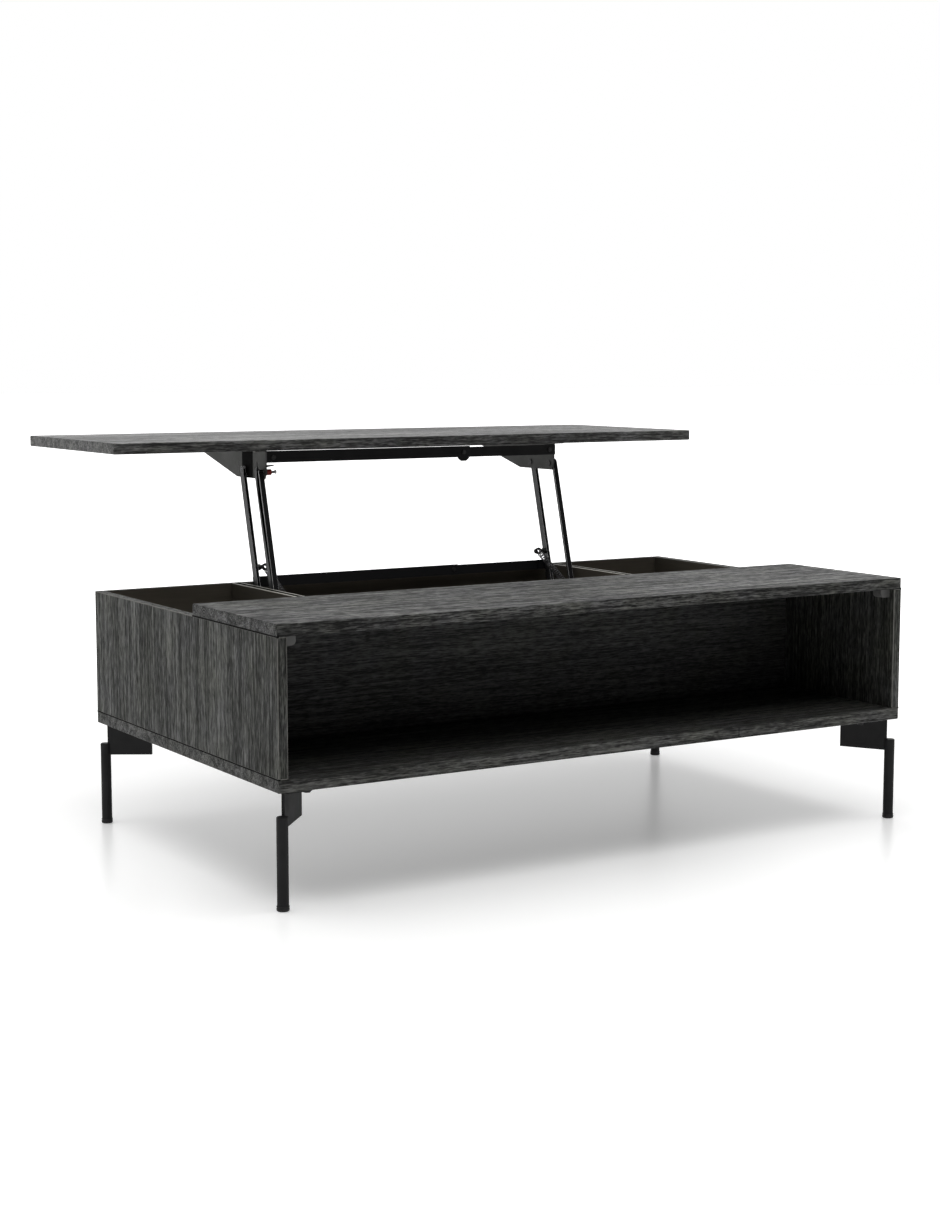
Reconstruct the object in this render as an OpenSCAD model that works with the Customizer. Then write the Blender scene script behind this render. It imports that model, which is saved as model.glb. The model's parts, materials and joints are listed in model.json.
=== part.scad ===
// Lift top coffee table, shown with the top raised.
// The front edge of the case is worked from y = 0 and the floor from z = 0;
// from_front() then centres the whole table, raised top included, on the origin.

/* [Case] */
// Width of the table
case_w = 1200; // [900:10:1500]
// Depth of the table with the top closed
case_d = 700; // [640:10:800]
// Height of the rim that the lift top rests on
rim_h = 404; // [370:1:450]
// Height of the underside of the base panel
base_h = 176; // [150:1:200]
// Thickness of the base panel
base_t = 20; // [16:1:25]
// Thickness of the side panels
side_t = 16; // [14:1:22]
// Thickness of the rear panel
rear_t = 10; // [8:1:16]
// Thickness of the wall behind the open shelf
wall_t = 18; // [14:1:22]
// Front face of the wall behind the open shelf, from the front edge
wall_y = 285; // [270:1:290]
// Thickness of the two dividers between the wells
divider_t = 20; // [16:1:24]
// Distance from the middle of the table to the middle of each divider
divider_x = 338; // [336:1:360]
// Thickness of the fixed front top and of the lift top
top_t = 19; // [16:1:24]
// Depth of the fixed front top
front_d = 295; // [290:1:300]
// Gap between the fixed front top and the closed lift top
top_gap = 1; // [0.6:0.2:3]
// Corner radius of the two tops, seen from above
top_r = 3; // [1:0.5:8]
// Width and depth of the corner connector blocks
block = 20; // [16:1:24]
// Height of the corner connector blocks
block_h = 15; // [12:1:20]

/* [Legs] */
// Diameter of the leg posts
post_d = 17.6; // [14:0.2:22]
// Distance of each post's axis from both edges of the base panel
post_inset = 9.8; // [9.8:0.1:20]
// Height of the top of each post
post_h = 140; // [130:1:145]
// Thickness of the gusset plate of each leg
gusset_t = 5; // [4:0.5:8]
// Depth of the gusset plate below the base panel
gusset_h = 56; // [50:1:60]
// Inner end of the gusset plate, from the corner along the diagonal
gusset_end = 99; // [80:1:120]
// Outer end of the gusset plate, from the corner along the diagonal
gusset_start = 18.5; // [17:0.5:20]
// Thickness of the mounting flange of each leg
flange_t = 4; // [3:0.5:6]
// Height of the foot caps
foot_h = 8; // [6:0.5:12]
// Diameter of the foot caps
foot_d = 19.4; // [18:0.2:19.4]

/* [Lift mechanism] */
// Length of the four arms between their pivots
arm_l = 242; // [230:1:245]
// Lean of the raised arms behind the vertical
arm_lean = 15; // [12:0.5:18]
// Dip of the closed arms below the horizontal
arm_dip = 0.7; // [0:0.1:1.5]
// Distance between the rear pivot and the front pivot
arm_pitch = 64.5; // [60:0.5:70]
// Width of the arms
arm_w = 17; // [16:0.5:18]
// Rear base pivot, from the front edge of the table
pivot_y = 653; // [645:1:655]
// Depth of the upper pivots below the lift top
pivot_drop = 40; // [38:0.5:42]
// Thickness of the bracket plates
plate_t = 2.5; // [2:0.1:3]
// Radius of the pivot pins
pin_r = 4; // [3:0.5:4.5]
// Distance of the spring pins from the rear base pivots
spring_pin_at = 67; // [64:1:70]
// Outer diameter of the lift springs
spring_d = 12; // [10:0.5:13]

/* [Hidden] */
$fn = 48;

// travel of the lift top from closed to raised
travel_y = arm_l*(sin(arm_lean) + cos(arm_dip));
travel_z = arm_l*(cos(arm_lean) + sin(arm_dip));
total_d = case_d + travel_y;

// heights and depths of the case
panel_z = base_h + base_t;
panel_h = rim_h - panel_z;
inner_x = case_w/2 - side_t;
rear_y = case_d - rear_t;
divider_y = wall_y + wall_t;
divider_in = divider_x - divider_t/2;
lid_d = case_d - front_d - top_gap;
lid_y = front_d + top_gap + travel_y;
lid_z = rim_h + travel_z;

// pivots, as [y, z]; the base ones are fixed and the top ones ride on the lift top
pivot_z = rim_h - pivot_drop + arm_l*sin(arm_dip);
top_pivot_y = pivot_y + arm_l*sin(arm_lean);
top_pivot_z = pivot_z + arm_l*cos(arm_lean);

// layers of the mechanism, as distances from the middle of the table
gap = 0.4;
layer_gap = 0.7;
rear_arm_u = 307;
rear_arm_depth = 6;
rear_arm_wall = 1.2;
front_arm_wall = 1.5;
front_arm_u = rear_arm_u - front_arm_wall - gap;
front_flange_u = rear_arm_u + rear_arm_depth + gap;
front_arm_end_u = front_flange_u + front_arm_wall;
upper_plate_u = front_arm_u - layer_gap;
base_plate_u = front_arm_end_u + layer_gap;
// closed, the front arm's web lies just below the rear arm's front edge
rear_arm_front = arm_w/2 - front_arm_wall - arm_pitch*sin(arm_dip) - gap;

// fits
run = 0.05;
open_run = 0.4;
head_t = 1.5;
head_r = pin_r + 1.5;

// connector blocks, from the front edge
block_y = 12;
block_round = 7;
block_screw_in = 11;

// leg details, from the corner along the diagonal
post_s = post_inset*sqrt(2);
flange_half = 33;
leg_bolt_s = [64, 88];
leg_bolt_t = 22;
bolt_r = 3;
bolt_head_r = 5.8;
bolt_head_t = 4;
bolt_into_base = 13;

// screws
screw_r = 2;
screw_head_r = 4;
screw_head_t = 2;

// base bracket, from the rear base pivot
ear_r = 13;
bracket_low = -50;
bracket_front = -146;
bracket_shelf = -8;
bracket_leg_top = 10;
leg_screws_y = [-130, -90, -45, -4];
leg_screw_z = -18;
stop_at = [18, 28];
stop_t = 2.5;

// spring, from the rear base pivot
anchor_y = -127;
anchor_z = -18.5;
spring_u = rear_arm_u - 16;
spring_pin_y = spring_pin_at*sin(arm_lean);
spring_pin_z = spring_pin_at*cos(arm_lean);
spring_end = 9;

// the eye that holds the spring's upper hook, at the end of a stud on the rear arm
eye_r = 6.4;
eye_hole_r = 2.6;
eye_t = 5;
eye_tip_r = 5;
eye_tip_at = 4;
neck_r = 3.5;
neck_l = 9;
collar_r = 5.5;

// upper bracket, from the rear top pivot
bracket_fore = -arm_pitch - 15;
bracket_low_z = -12;
tail_start = 37;
tail_end = 223;
lid_flange_w = 20;
tab_w = 22;
tab_low = 18;
tab_high = 37;
lid_screws_y = [-60, 20, 110, 200];
lid_screw_in = 10;
lid_screw_len = 13;

// cross bars
bar_t = 2.5;
bar_left_end = 112;
bar_right_start = -40;
upper_bar_low = 17.5;
upper_bar_left_h = 20.5;
upper_bar_right_h = 18.5;
bar_tab_w = 26;
bar_tab_h = 7;
lower_bar_t = 2;
lower_bar_at = 33;
lower_bar_left_h = 19;
lower_bar_right_h = 17.5;
bar_pad = 22;
bar_screw_in = 10;
bar_mid = upper_bar_low + upper_bar_right_h/2;
bar_hole_u = upper_plate_u - tab_w/2 - 2;
lower_y = arm_w/2;
lower_mid = lower_bar_at + lower_bar_left_h/2;

// left front top pivot, from the inside of the bracket plate
nut_t = 5;
nut_r = 7.6;
nut_flange_r = 9;
nut_flange_t = 1.6;
bush_l = 9.5;
bush_r = 5.4;
cap_l = 4.5;
cap_r = 3.6;
bolt_tail = 24.5;
tail_r = 2;
nut_u = upper_plate_u - plate_t;

// ---- placing helpers ----

module from_front() { translate([0, -total_d/2, 0]) children(); }

// the right side is drawn and the left side is its mirror
module side(s) { mirror([s < 0 ? 1 : 0, 0, 0]) children(); }

// a child drawn about the origin in y and z, moved to a pivot
module at_base_pivot(dy = 0) { translate([0, pivot_y + dy, pivot_z]) children(); }
module at_top_pivot(dy = 0) { translate([0, top_pivot_y + dy, top_pivot_z]) children(); }

// an arm's own frame: +z runs along the arm and +y is its rear side
module along_arm() { rotate([-arm_lean, 0, 0]) children(); }

// a rod along x, from one distance to another
module rod(u0, u1, r) { translate([u0, 0, 0]) rotate([0, 90, 0]) cylinder(h = u1 - u0, r = r); }

// a flat plate standing in the y-z plane; its outline is given as [y, z]
module plate(u0, t) { translate([u0, 0, 0]) rotate([90, 0, 90]) linear_extrude(height = t) children(); }

module rounded_rect(w, d, r) {
    translate([r, 0]) square([w - 2*r, d]);
    translate([0, r]) square([w, d - 2*r]);
    for (x = [r, w - r], y = [r, d - r]) translate([x, y]) circle(r = r);
}

// ---- case ----

function corner(sx, sy) = [sx*case_w/2, sy > 0 ? case_d : 0];

// a leg's frame: x runs from the corner towards the middle, along the diagonal
module at_corner(sx, sy) {
    c = corner(sx, sy);
    translate([c[0], c[1], 0]) rotate([0, 0, atan2(-sy, -sx)]) children();
}

module leg_bolt_places() {
    for (s = leg_bolt_s, t = [-leg_bolt_t, leg_bolt_t]) translate([s, t, 0]) children();
}

module base_panel() {
    color("#3a3a38") from_front() difference() {
        translate([-case_w/2, 0, base_h]) cube([case_w, case_d, base_t]);
        for (sx = [-1, 1], sy = [-1, 1]) at_corner(sx, sy) leg_bolt_places()
            translate([0, 0, base_h - 1]) cylinder(h = bolt_into_base + 2, r = bolt_r + run);
    }
}

module side_panel(s) {
    color("#3c3c3a") from_front() side(s)
        translate([inner_x, 0, panel_z]) cube([side_t, case_d, panel_h]);
}
module left_side_panel() { side_panel(-1); }
module right_side_panel() { side_panel(1); }

module rear_panel() {
    color("#38342f") from_front()
        translate([-inner_x, rear_y, panel_z]) cube([2*inner_x, rear_t, panel_h]);
}

module shelf_back_panel() {
    color("#303030") from_front()
        translate([-inner_x, wall_y, panel_z]) cube([2*inner_x, wall_t, panel_h]);
}

module fixed_front_top() {
    color("#454543") from_front() difference() {
        translate([-case_w/2, 0, rim_h]) linear_extrude(height = top_t) rounded_rect(case_w, front_d, top_r);
        for (s = [-1, 1]) side(s) block_screw_up() cylinder(h = block_screw_in + 1, r = screw_r + run);
    }
}

module divider(s) {
    color("#37322d") from_front() side(s) difference() {
        translate([divider_in, divider_y, panel_z]) cube([divider_t, rear_y - divider_y, panel_h]);
        bracket_screw_places() rod(divider_in - 1, divider_in + lid_screw_len + 1, screw_r + run);
    }
}
module left_divider() { divider(-1); }
module right_divider() { divider(1); }

// where the connector block's screw goes up into the front top
module block_screw_up() { translate([inner_x - block/2, block_y + block/2, rim_h]) children(); }

module corner_block(s) {
    color("#555553") from_front() side(s) difference() {
        translate([inner_x, block_y, rim_h]) rotate([-90, 0, 0]) linear_extrude(height = block) {
            translate([-block, 0]) square([block, block_h - block_round]);
            translate([block_round - block, 0]) square([block - block_round, block_h]);
            translate([block_round - block, block_h - block_round]) circle(r = block_round);
        }
        block_screw_up() translate([0, 0, -block_h - 1]) {
            cylinder(h = block_h + 2, r = screw_r + run);
            cylinder(h = screw_head_t + 1, r = screw_head_r + run);
        }
    }
}
module left_corner_block() { corner_block(-1); }
module right_corner_block() { corner_block(1); }

module block_screws() {
    color("#8a8a86") from_front() for (s = [-1, 1]) side(s) block_screw_up() translate([0, 0, -block_h]) {
        cylinder(h = block_h + block_screw_in, r = screw_r);
        cylinder(h = screw_head_t, r = screw_head_r);
    }
}

// ---- legs ----

module leg(sx, sy) {
    foot_top = foot_h - 1;
    color("#161616") from_front() at_corner(sx, sy) difference() {
        union() {
            translate([post_s, 0, foot_top]) cylinder(h = post_h - foot_top - 1, r = post_d/2);
            translate([post_s, 0, post_h - 1]) cylinder(h = 1, r = post_d/2 - 0.8);
            // gusset plate, with a small fillet where it meets the post's top
            translate([0, gusset_t/2, 0]) rotate([90, 0, 0]) linear_extrude(height = gusset_t)
                difference() {
                    polygon([[post_s, base_h - gusset_h], [gusset_end, base_h - gusset_h + 4],
                        [gusset_end, base_h], [gusset_start, base_h],
                        [gusset_start, post_h + 3], [gusset_start - 3, post_h - 1],
                        [post_s, post_h - 1]]);
                    translate([gusset_start - 3, post_h + 2]) circle(r = 3);
                }
            translate([0, 0, base_h - flange_t]) linear_extrude(height = flange_t)
                polygon([[gusset_start + 4, -8], [52, -flange_half], [gusset_end, -flange_half],
                    [gusset_end, flange_half], [52, flange_half], [gusset_start + 4, 8]]);
        }
        leg_bolt_places() translate([0, 0, base_h - flange_t - 1])
            cylinder(h = flange_t + 2, r = bolt_r + 0.3);
    }
}
module front_left_leg() { leg(-1, -1); }
module front_right_leg() { leg(1, -1); }
module rear_left_leg() { leg(-1, 1); }
module rear_right_leg() { leg(1, 1); }

// a cap with a narrow neck ring, pushed over the post's end
module foot(sx, sy) {
    color("#0d0d0d") from_front() at_corner(sx, sy) translate([post_s, 0, 0])
        rotate_extrude() polygon([[0, 0], [foot_d/2 - 1.6, 0], [foot_d/2 - 0.5, 0.6],
            [foot_d/2, 2], [foot_d/2, foot_h - 3.4], [foot_d/2 - 0.7, foot_h - 2.8],
            [foot_d/2 - 0.7, foot_h - 2.2], [foot_d/2, foot_h - 1.6], [foot_d/2, foot_h - 0.5],
            [foot_d/2 - 0.4, foot_h], [post_d/2 + run, foot_h], [post_d/2 + run, foot_h - 1],
            [0, foot_h - 1]]);
}
module front_left_foot() { foot(-1, -1); }
module front_right_foot() { foot(1, -1); }
module rear_left_foot() { foot(-1, 1); }
module rear_right_foot() { foot(1, 1); }

module leg_bolts() {
    color("#101010") from_front() for (sx = [-1, 1], sy = [-1, 1]) at_corner(sx, sy) leg_bolt_places()
        translate([0, 0, base_h - flange_t]) {
            cylinder(h = flange_t + bolt_into_base, r = bolt_r);
            translate([0, 0, -1]) cylinder(h = 1, r = bolt_head_r + 1);
            translate([0, 0, -1 - bolt_head_t]) cylinder(h = bolt_head_t, r = bolt_head_r, $fn = 6);
        }
}

// ---- base brackets ----

module bracket_screw_places() {
    for (y = leg_screws_y) at_base_pivot(y) translate([0, 0, leg_screw_z]) children();
}

module base_bracket(s) {
    color("#1b1b1b") from_front() side(s) difference() {
        union() {
            at_base_pivot() {
                plate(base_plate_u, plate_t) {
                    polygon([[ear_r, 0], [ear_r, bracket_low], [bracket_front, bracket_low],
                        [bracket_front, bracket_shelf], [-arm_pitch - ear_r - 18, bracket_shelf],
                        [-arm_pitch - ear_r, 0]]);
                    circle(r = ear_r);
                    translate([-arm_pitch, 0]) circle(r = ear_r);
                }
                plate(divider_in - plate_t, plate_t)
                    polygon([[ear_r, bracket_low], [ear_r, bracket_leg_top],
                        [bracket_front + 20, bracket_leg_top], [bracket_front, bracket_shelf],
                        [bracket_front, bracket_low]]);
                translate([base_plate_u, bracket_front, bracket_low])
                    cube([divider_in - base_plate_u, ear_r - bracket_front, plate_t]);
                // the tab that stops the raised arm
                along_arm() translate([rear_arm_u - 1, arm_w/2 + gap, stop_at[0]])
                    cube([base_plate_u + plate_t - rear_arm_u + 1, stop_t, stop_at[1] - stop_at[0]]);
                along_arm() translate([base_plate_u, 0, 0])
                    cube([plate_t, arm_w/2 + gap + stop_t, stop_at[1]]);
            }
        }
        at_base_pivot() rod(base_plate_u - 1, base_plate_u + plate_t + 1, pin_r + run);
        at_base_pivot(-arm_pitch) rod(base_plate_u - 1, base_plate_u + plate_t + 1, pin_r + run);
        at_base_pivot(anchor_y) translate([0, 0, anchor_z])
            rod(base_plate_u - 1, base_plate_u + plate_t + 1, pin_r - 1 + run);
        bracket_screw_places() rod(divider_in - plate_t - 1, divider_in + 1, screw_r + run);
    }
}
module left_base_bracket() { base_bracket(-1); }
module right_base_bracket() { base_bracket(1); }

module base_bracket_screws() {
    color("#8a8a86") from_front() for (s = [-1, 1]) side(s) bracket_screw_places() {
        rod(divider_in - plate_t, divider_in + lid_screw_len, screw_r);
        rod(divider_in - plate_t - screw_head_t, divider_in - plate_t, screw_head_r);
    }
}

// rear base pivot: headed outside the plate, with a collar up to the arm and a head inside it
module rear_base_pin(s) {
    color("#2a2a2a") from_front() side(s) at_base_pivot() {
        rod(rear_arm_u - 0.3 - head_t, base_plate_u + plate_t, pin_r);
        rod(base_plate_u + plate_t, base_plate_u + plate_t + head_t, head_r);
        rod(rear_arm_u + rear_arm_depth + 0.3, base_plate_u, head_r - 0.7);
        rod(rear_arm_u - 0.3 - head_t, rear_arm_u - 0.3, head_r);
    }
}
module left_rear_base_pin() { rear_base_pin(-1); }
module right_rear_base_pin() { rear_base_pin(1); }

// front base pivot: a short stud, flush with the inside of the front arm's flange
module front_base_pin(s) {
    color("#2a2a2a") from_front() side(s) at_base_pivot(-arm_pitch) {
        rod(front_flange_u, base_plate_u + plate_t, pin_r);
        rod(base_plate_u + plate_t, base_plate_u + plate_t + head_t, head_r);
    }
}
module left_front_base_pin() { front_base_pin(-1); }
module right_front_base_pin() { front_base_pin(1); }

// the lower end of each spring hooks on this stud
module spring_anchor(s) {
    r = pin_r - 1;
    color("#2a2a2a") from_front() side(s) at_base_pivot(anchor_y) translate([0, 0, anchor_z]) {
        rod(spring_u - 3, base_plate_u + plate_t, r);
        rod(base_plate_u + plate_t, base_plate_u + plate_t + head_t, r + 1.5);
        rod(spring_u - 4.5, spring_u - 3, r + 1.5);
        rod(spring_u + 3, base_plate_u, r + 1.2);
    }
}
module left_spring_anchor() { spring_anchor(-1); }
module right_spring_anchor() { spring_anchor(1); }

// the space of the spring's coils, from its pin on the arm down to its anchor
module spring(s) {
    dy = spring_pin_y - anchor_y;
    dz = spring_pin_z - anchor_z;
    length = norm([dy, dz]);
    color("#6f6f72") from_front() side(s) at_base_pivot(anchor_y)
        translate([spring_u, 0, anchor_z]) rotate([-atan2(dy, dz), 0, 0])
            translate([0, 0, spring_end]) cylinder(h = length - 2*spring_end, r = spring_d/2);
}
module left_spring() { spring(-1); }
module right_spring() { spring(1); }

// ---- arms ----

// a bar with round ends about both pivots, in the arm's own frame
module arm_outline() {
    circle(r = arm_w/2);
    translate([0, arm_l]) circle(r = arm_w/2);
    translate([-arm_w/2, 0]) square([arm_w, arm_l]);
}

// rear arm: a channel with its web at the rear and its open side to the front
module rear_arm(s) {
    u1 = rear_arm_u + rear_arm_depth;
    long = 2*arm_l;
    color("#2e2f30") from_front() side(s) at_base_pivot() along_arm() difference() {
        plate(rear_arm_u, rear_arm_depth) arm_outline();
        translate([rear_arm_u + rear_arm_wall, -arm_w, -arm_l/2])
            cube([rear_arm_depth - 2*rear_arm_wall, 1.5*arm_w - rear_arm_wall, long]);
        translate([rear_arm_u - 1, -arm_w - rear_arm_front, -arm_l/2])
            cube([rear_arm_depth + 2, arm_w, long]);
        for (z = [0, arm_l]) translate([0, 0, z]) rod(rear_arm_u - 1, u1 + 1, pin_r + run);
        translate([0, 0, spring_pin_at])
            rod(rear_arm_u - 1, rear_arm_u + rear_arm_wall + 1, neck_r + run);
    }
}
module left_rear_arm() { rear_arm(-1); }
module right_rear_arm() { rear_arm(1); }

// front arm: an angle with its flange outside the rear arm and its web at the front
module front_arm(s) {
    color("#2e2f30") from_front() side(s) at_base_pivot(-arm_pitch) along_arm() difference() {
        union() {
            plate(front_flange_u, front_arm_wall) arm_outline();
            intersection() {
                plate(front_arm_u, front_arm_end_u - front_arm_u) arm_outline();
                translate([front_arm_u, -arm_w/2, 0]) cube([20, front_arm_wall, arm_l]);
            }
        }
        rod(front_flange_u - 1, front_arm_end_u + 1, pin_r + run);
        translate([0, 0, arm_l]) rod(front_flange_u - 1, front_arm_end_u + 1, pin_r + open_run);
        translate([0, 2, arm_l - 29]) rod(front_flange_u - 1, front_arm_end_u + 1, 3);
    }
}
module left_front_arm() { front_arm(-1); }
module right_front_arm() { front_arm(1); }

// the stud on the rear arm that carries the spring's eye, with its collar
module spring_pin(s) {
    color("#1c1c1c") from_front() side(s) at_base_pivot() along_arm() translate([0, 0, spring_pin_at]) {
        rod(spring_u + neck_l, rear_arm_u + rear_arm_wall, neck_r);
        rod(spring_u + neck_l + 1, rear_arm_u, collar_r);
    }
}
module left_spring_pin() { spring_pin(-1); }
module right_spring_pin() { spring_pin(1); }

// the eye: a round plate with a hole, a tip on its inner side and a neck towards the stud
module spring_eye(s) {
    color("#1a1a1a") from_front() side(s) at_base_pivot() along_arm()
        translate([spring_u, eye_t/2, spring_pin_at]) rotate([90, 0, 0]) linear_extrude(height = eye_t)
            difference() {
                union() {
                    circle(r = eye_r);
                    translate([-eye_tip_at, 0]) circle(r = eye_tip_r);
                    translate([0, -neck_r]) square([neck_l, 2*neck_r]);
                }
                circle(r = eye_hole_r);
            }
}
module left_spring_eye() { spring_eye(-1); }
module right_spring_eye() { spring_eye(1); }

// ---- lower cross bar, on the rear edge of the two rear arms ----

module on_lower_bar() { at_base_pivot() along_arm() children(); }

module lower_bar_left() {
    u = rear_arm_u + rear_arm_depth;
    color("#141416") from_front() on_lower_bar() difference() {
        translate([-u, lower_y, lower_bar_at]) cube([u + bar_left_end, lower_bar_t, lower_bar_left_h]);
        for (x = [-u + 3, bar_left_end - bar_screw_in]) translate([x, lower_y - 1, lower_mid])
            rotate([-90, 0, 0]) cylinder(h = 2*lower_bar_t + 2, r = screw_r + run);
    }
}

module lower_bar_right() {
    u = rear_arm_u + rear_arm_depth;
    low = lower_mid - lower_bar_right_h/2;
    color("#141416") from_front() on_lower_bar() difference() {
        union() {
            translate([bar_right_start, lower_y + lower_bar_t, low])
                cube([u - bar_right_start, lower_bar_t, lower_bar_right_h]);
            translate([u - bar_pad, lower_y, low]) cube([bar_pad, lower_bar_t, lower_bar_right_h]);
        }
        for (x = [u - 3, bar_left_end - bar_screw_in]) translate([x, lower_y - 1, lower_mid])
            rotate([-90, 0, 0]) cylinder(h = 2*lower_bar_t + 2, r = screw_r + run);
    }
}

module lower_bar_screws() {
    u = rear_arm_u + rear_arm_depth;
    back = lower_y + 2*lower_bar_t;
    color("#3a3a3a") from_front() on_lower_bar() {
        for (x = [u - 3, -u + 3]) {
            depth = x > 0 ? 2*lower_bar_t : lower_bar_t;
            translate([x, lower_y, lower_mid]) rotate([-90, 0, 0]) {
                cylinder(h = depth, r = screw_r);
                translate([0, 0, depth]) cylinder(h = screw_head_t, r = 2.9);
            }
        }
        translate([bar_left_end - bar_screw_in, lower_y, lower_mid]) rotate([-90, 0, 0]) {
            cylinder(h = back - lower_y, r = screw_r);
            translate([0, 0, back - lower_y]) cylinder(h = 3, r = 4, $fn = 6);
            translate([0, 0, -screw_head_t]) cylinder(h = screw_head_t, r = screw_head_r);
        }
    }
}

// ---- lift top and what it carries ----

module lid_screw_places() {
    for (y = lid_screws_y) at_top_pivot(y)
        translate([upper_plate_u + lid_screw_in, 0, pivot_drop]) children();
}

module lift_top() {
    color("#4a4a48") from_front() difference() {
        translate([-case_w/2, lid_y, lid_z]) linear_extrude(height = top_t)
            rounded_rect(case_w, lid_d, top_r);
        for (s = [-1, 1]) side(s) lid_screw_places() translate([0, 0, -1])
            cylinder(h = lid_screw_len + 2, r = screw_r + run);
    }
}

module upper_bracket(s) {
    color("#262728") from_front() side(s) difference() {
        at_top_pivot() {
            plate(upper_plate_u - plate_t, plate_t)
                polygon([[bracket_fore, pivot_drop], [bracket_fore, 0], [bracket_fore + 6, bracket_low_z],
                    [tail_start, bracket_low_z], [tail_end, pivot_drop - plate_t], [tail_end, pivot_drop]]);
            translate([upper_plate_u - plate_t, bracket_fore, pivot_drop - plate_t])
                cube([lid_flange_w + plate_t, tail_end - bracket_fore, plate_t]);
            translate([upper_plate_u - tab_w, bracket_fore, tab_low])
                cube([tab_w, plate_t, tab_high - tab_low]);
        }
        for (y = [0, -arm_pitch]) at_top_pivot(y)
            rod(upper_plate_u - plate_t - 1, upper_plate_u + 1, pin_r + run);
        lid_screw_places() translate([0, 0, -plate_t - 1]) cylinder(h = plate_t + 2, r = screw_r + run);
        at_top_pivot() translate([upper_plate_u - tab_w/2 - 2, bracket_fore - 1, bar_mid])
            rotate([-90, 0, 0]) cylinder(h = plate_t + 2, r = screw_r + run);
    }
}
module left_upper_bracket() { upper_bracket(-1); }
module right_upper_bracket() { upper_bracket(1); }

module upper_bracket_screws() {
    color("#8a8a86") from_front() for (s = [-1, 1]) side(s) lid_screw_places() {
        translate([0, 0, -plate_t]) cylinder(h = plate_t + lid_screw_len, r = screw_r);
        translate([0, 0, -plate_t - screw_head_t]) cylinder(h = screw_head_t, r = screw_head_r);
    }
}

// rear top pivot: headed inside the plate and flush with the outside of the rear arm
module rear_top_pin(s) {
    color("#2a2a2a") from_front() side(s) at_top_pivot() {
        rod(upper_plate_u - plate_t, rear_arm_u + rear_arm_depth, pin_r);
        rod(upper_plate_u - plate_t - head_t, upper_plate_u - plate_t, head_r);
        rod(upper_plate_u, rear_arm_u - 0.3, head_r - 0.7);
    }
}
module left_rear_top_pin() { rear_top_pin(-1); }
module right_rear_top_pin() { rear_top_pin(1); }

// front top pivot: a pin with a spacer between the plate and the front arm's flange
module front_top_shank(inner_u) {
    rod(inner_u, front_arm_end_u + 0.3, pin_r);
    rod(front_arm_end_u + 0.3, front_arm_end_u + 0.3 + head_t, head_r);
    rod(upper_plate_u, front_flange_u - 0.3, head_r - 0.7);
}
module right_front_top_pin() {
    color("#2a2a2a") from_front() at_top_pivot(-arm_pitch) {
        front_top_shank(upper_plate_u - plate_t);
        rod(upper_plate_u - plate_t - head_t, upper_plate_u - plate_t, head_r);
    }
}

// the left one is a long bolt that carries a nut, a bush and a flared cap inside the plate
module left_front_top_bolt() {
    color("#1a1a1a") from_front() side(-1) at_top_pivot(-arm_pitch) {
        front_top_shank(nut_u - nut_t);
        rod(nut_u - bolt_tail + cap_l, nut_u - nut_t, tail_r);
    }
}
module pivot_nut() {
    color("#121212") from_front() side(-1) at_top_pivot(-arm_pitch) difference() {
        union() {
            translate([nut_u - nut_t, 0, 0]) rotate([0, 90, 0]) cylinder(h = nut_t, r = nut_r, $fn = 6);
            rod(nut_u - nut_flange_t, nut_u, nut_flange_r);
        }
        rod(nut_u - nut_t - 1, nut_u + 1, pin_r + run);
    }
}
module pivot_bush() {
    color("#7a1d18") from_front() side(-1) at_top_pivot(-arm_pitch) difference() {
        rod(nut_u - nut_t - bush_l, nut_u - nut_t, bush_r);
        rod(nut_u - nut_t - bush_l - 1, nut_u - nut_t + 1, tail_r + run);
    }
}
module pivot_cap() {
    color("#b9b9bc") from_front() side(-1) at_top_pivot(-arm_pitch)
        translate([nut_u - bolt_tail + cap_l, 0, 0]) rotate([0, -90, 0])
            rotate_extrude() polygon([[0, 0], [tail_r, 0], [tail_r + 0.6, 1.4], [cap_r, cap_l - 0.9],
                [cap_r, cap_l], [0, cap_l]]);
}

// ---- upper cross bar, across the front of the two upper brackets ----

module on_upper_bar() { at_top_pivot() translate([0, bracket_fore, 0]) children(); }

module upper_bar_left() {
    u = upper_plate_u;
    color("#141416") from_front() on_upper_bar() difference() {
        union() {
            translate([-u, -2*bar_t, upper_bar_low])
                cube([u + bar_left_end, bar_t, upper_bar_left_h]);
            translate([-u, -bar_t, upper_bar_low]) cube([bar_pad, bar_t, upper_bar_left_h]);
            translate([bar_left_end - bar_tab_w, -bar_t, upper_bar_low]) rotate([90, 0, 0])
                linear_extrude(height = bar_t) polygon([[0, 1], [3, -3.5], [8, -bar_tab_h],
                    [bar_tab_w - 8, -bar_tab_h], [bar_tab_w - 3, -3.5], [bar_tab_w, 1]]);
        }
        for (x = [-bar_hole_u, bar_left_end - bar_tab_w/2]) translate([x, -2*bar_t - 1, bar_mid])
            rotate([-90, 0, 0]) cylinder(h = 2*bar_t + 2, r = screw_r + run);
    }
}

module upper_bar_right() {
    u = upper_plate_u;
    color("#17171a") from_front() on_upper_bar() difference() {
        translate([bar_right_start, -bar_t, upper_bar_low])
            cube([u - bar_right_start, bar_t, upper_bar_right_h]);
        for (x = [bar_hole_u, bar_left_end - bar_tab_w/2]) translate([x, -bar_t - 1, bar_mid])
            rotate([-90, 0, 0]) cylinder(h = bar_t + 2, r = screw_r + run);
    }
}

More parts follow.
